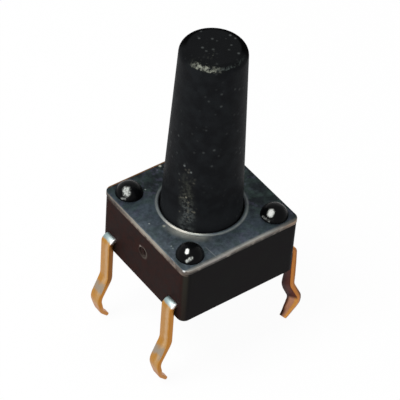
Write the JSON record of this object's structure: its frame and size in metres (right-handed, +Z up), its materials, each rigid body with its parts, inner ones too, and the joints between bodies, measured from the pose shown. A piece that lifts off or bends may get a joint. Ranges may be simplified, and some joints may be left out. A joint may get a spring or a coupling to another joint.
{
  "type": "tactile push button switch",
  "caption": "Square board-mounted tactile push button switch with a tall tapered round plunger and formed snap-in legs.",
  "frame": {"origin": "middle of the footprint on the board's top surface, in the plane of the housing's feet", "axes": "+Z up along the plunger, X across the two sides that the legs leave, Y along those sides"},
  "size_m": [0.0079, 0.006, 0.0156],
  "materials": {
    "black_housing": "satin moulded plastic, glossy where the posts were melted",
    "black_plunger": "matt, finely grained",
    "steel_cover": "satin, with bright sheared edges",
    "brass_terminal": "dull brass, with a silvery plated shoulder",
    "steel_dome": "bright rolled strip",
    "amber_film": "clear amber film"
  },
  "bodies": {
    "switch_body": {"base_housing": "black_housing", "centre_terminal": "brass_terminal", "rim_terminal": "brass_terminal", "dome_contact": "steel_dome", "insulating_film": "amber_film", "cover_plate": "steel_cover"},
    "button": {"plunger": "black_plunger"}
  },
  "joints": [
    {"name": "plunger_press", "type": "slide", "parent": "switch_body", "child": "button", "axis": [0, 0, -1], "range_m": [0, 0.00025], "stiffness_N_per_m": 6400, "deforming": ["dome_contact", "insulating_film"]}
  ]
}
